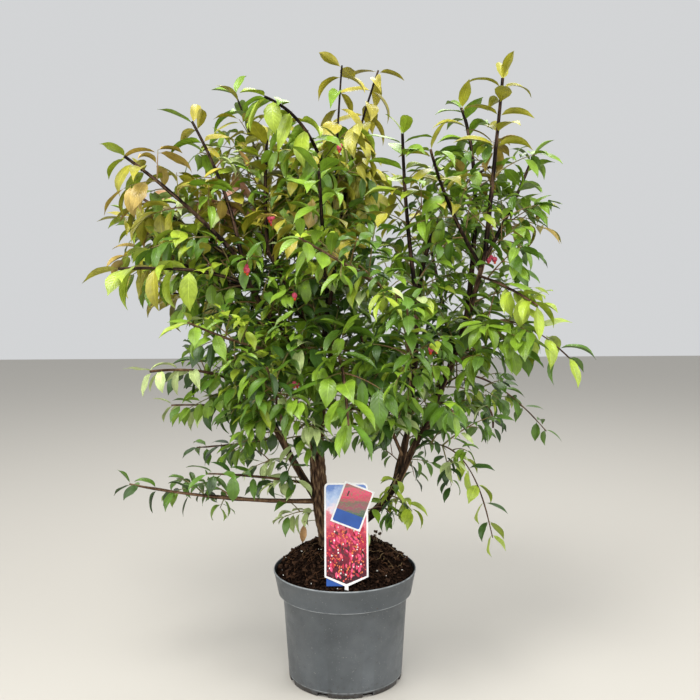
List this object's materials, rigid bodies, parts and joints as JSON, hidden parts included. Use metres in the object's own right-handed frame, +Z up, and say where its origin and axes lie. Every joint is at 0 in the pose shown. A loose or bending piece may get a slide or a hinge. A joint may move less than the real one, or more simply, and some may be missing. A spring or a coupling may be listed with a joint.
{
  "type": "potted shrub",
  "caption": "Many-stemmed winged spindle shrub with autumn-tinted leaves, in a round grey plastic nursery pot with potting mix and a plain picture label.",
  "frame": {"origin": "middle of the pot's flat underside", "axes": "+Z up along the pot's axis, -Y towards the front where the label stands, +X to the right seen from the front"},
  "size_m": [1.0209, 0.7642, 1.269],
  "materials": {
    "pot_plastic": "satin, scuffed",
    "potting_mix": "loose, rough",
    "bark": "rough, fissured",
    "foliage_deep": "soft satin",
    "foliage_fresh": "soft satin",
    "foliage_olive": "soft satin",
    "foliage_bronze": "soft satin",
    "label_print": "smooth print",
    "label_red": "smooth print",
    "label_blue": "smooth print"
  },
  "bodies": {
    "root": {"pot": "pot_plastic", "soil": "potting_mix", "trunk": "bark", "limb_right_foot": "bark", "limb_right_rise": "bark", "limb_centre_right": "bark", "limb_left_foot": "bark", "limb_left_rise": "bark", "limb_left_high": "bark", "limb_centre_rise": "bark", "leaves_low_left": "foliage_deep", "leaves_left_low_front": "foliage_deep", "leaves_left_low_back": "foliage_deep", "leaves_left_mid": "foliage_deep", "leaves_left_front": "foliage_fresh", "leaves_left_back": "foliage_olive", "leaves_left_front_high": "foliage_fresh", "leaves_left_arm": "foliage_olive", "leaves_left_arm_back": "foliage_olive", "leaves_left_tip": "foliage_bronze", "leaves_left_tip_back": "foliage_bronze", "leaves_left_spire": "foliage_olive", "leaves_top_left": "foliage_bronze", "leaves_top_left_back": "foliage_olive", "leaves_top_arch": "foliage_bronze", "leaves_top_centre": "foliage_olive", "leaves_top_back": "foliage_olive", "leaves_centre_spire": "foliage_olive", "leaves_centre_front": "foliage_fresh", "leaves_right_inner": "foliage_olive", "leaves_right_front_spire": "foliage_olive", "leaves_right_back_spire": "foliage_bronze", "leaves_right_spire": "foliage_bronze", "leaves_right_tip": "foliage_bronze", "leaves_right_front": "foliage_deep", "leaves_right_arm": "foliage_deep", "leaves_right_arm_back": "foliage_deep", "leaves_right_low_back": "foliage_deep", "leaves_right_weeping": "foliage_deep", "leaves_right_low_front": "foliage_fresh", "leaves_front_weeping": "foliage_fresh", "leaves_back_low_left": "foliage_deep", "leaves_back_low_right": "foliage_deep", "leaves_back_middle": "foliage_fresh", "leaves_back_high_left": "foliage_olive", "leaves_back_high_right": "foliage_olive", "leaves_back_top": "foliage_olive", "leaves_inner_front_left": "foliage_fresh", "leaves_inner_front_right": "foliage_fresh", "leaves_inner_front_high": "foliage_olive", "leaves_inner_middle": "foliage_fresh", "leaves_inner_low": "foliage_fresh", "leaves_inner_right": "foliage_fresh", "leaves_inner_back_left": "foliage_fresh", "card_large": "label_print", "card_small": "label_red", "card_strip": "label_blue"}
  },
  "joints": []
}
